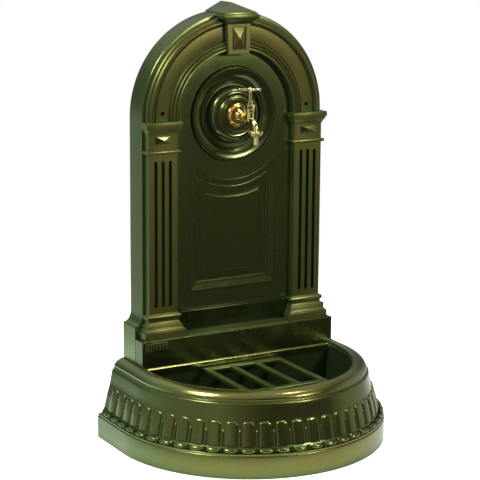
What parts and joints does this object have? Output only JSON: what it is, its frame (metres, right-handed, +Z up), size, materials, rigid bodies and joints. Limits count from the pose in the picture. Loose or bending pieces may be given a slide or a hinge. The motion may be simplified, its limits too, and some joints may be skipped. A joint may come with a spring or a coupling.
{
  "type": "wall fountain",
  "caption": "Cast wall fountain: arched back with fluted pilasters and keystone, brass bib tap on a round boss, D-shaped fluted basin with a rolled rim and a bucket grille.",
  "frame": {"origin": "on the floor under the middle of the fountain's bounding box", "axes": "+X along the wall to the viewer's right, +Y into the wall, +Z up"},
  "size_m": [0.634, 0.45, 0.985],
  "materials": {
    "paint": "satin dark green with a rubbed bronze-gold highlight",
    "brass": "polished"
  },
  "bodies": {
    "fountain": {"archivolt_left": "paint", "archivolt_right": "paint", "astragal_left": "paint", "astragal_right": "paint", "base_block_left": "paint", "base_block_right": "paint", "base_moulding_left": "paint", "base_moulding_right": "paint", "base_ring": "paint", "basin_rim": "paint", "basin_wall": "paint", "boss_centre": "paint", "boss_inner_ring": "paint", "boss_outer_ring": "paint", "bucket_grille": "paint", "capital_left": "paint", "capital_right": "paint", "casing": "paint", "casing_foot": "paint", "dado_plate": "paint", "diamond_left": "paint", "diamond_right": "paint", "keystone_block": "paint", "keystone_cap": "paint", "keystone_diamond": "paint", "name_plate": "paint", "neck_block_left": "paint", "neck_block_right": "paint", "panel_field": "paint", "panel_frame": "paint", "plinth": "paint", "plinth_ledge": "paint", "shaft_left": "paint", "shaft_right": "paint", "hose_tail": "brass", "tap_bonnet": "brass", "tap_collar": "brass", "tap_gland": "brass", "tap_inlet": "brass", "tap_rosette": "brass", "tap_spout": "brass", "tap_valve": "brass", "union_nut": "brass"},
    "handle": {"tap_spindle": "brass", "tap_handle": "brass"}
  },
  "joints": [
    {"name": "tap_handle_turn", "type": "hinge", "parent": "fountain", "child": "handle", "pos_m": [0, 0.0885, 0.7988], "axis": [0, 0, 1], "range_deg": [0, 450]}
  ]
}
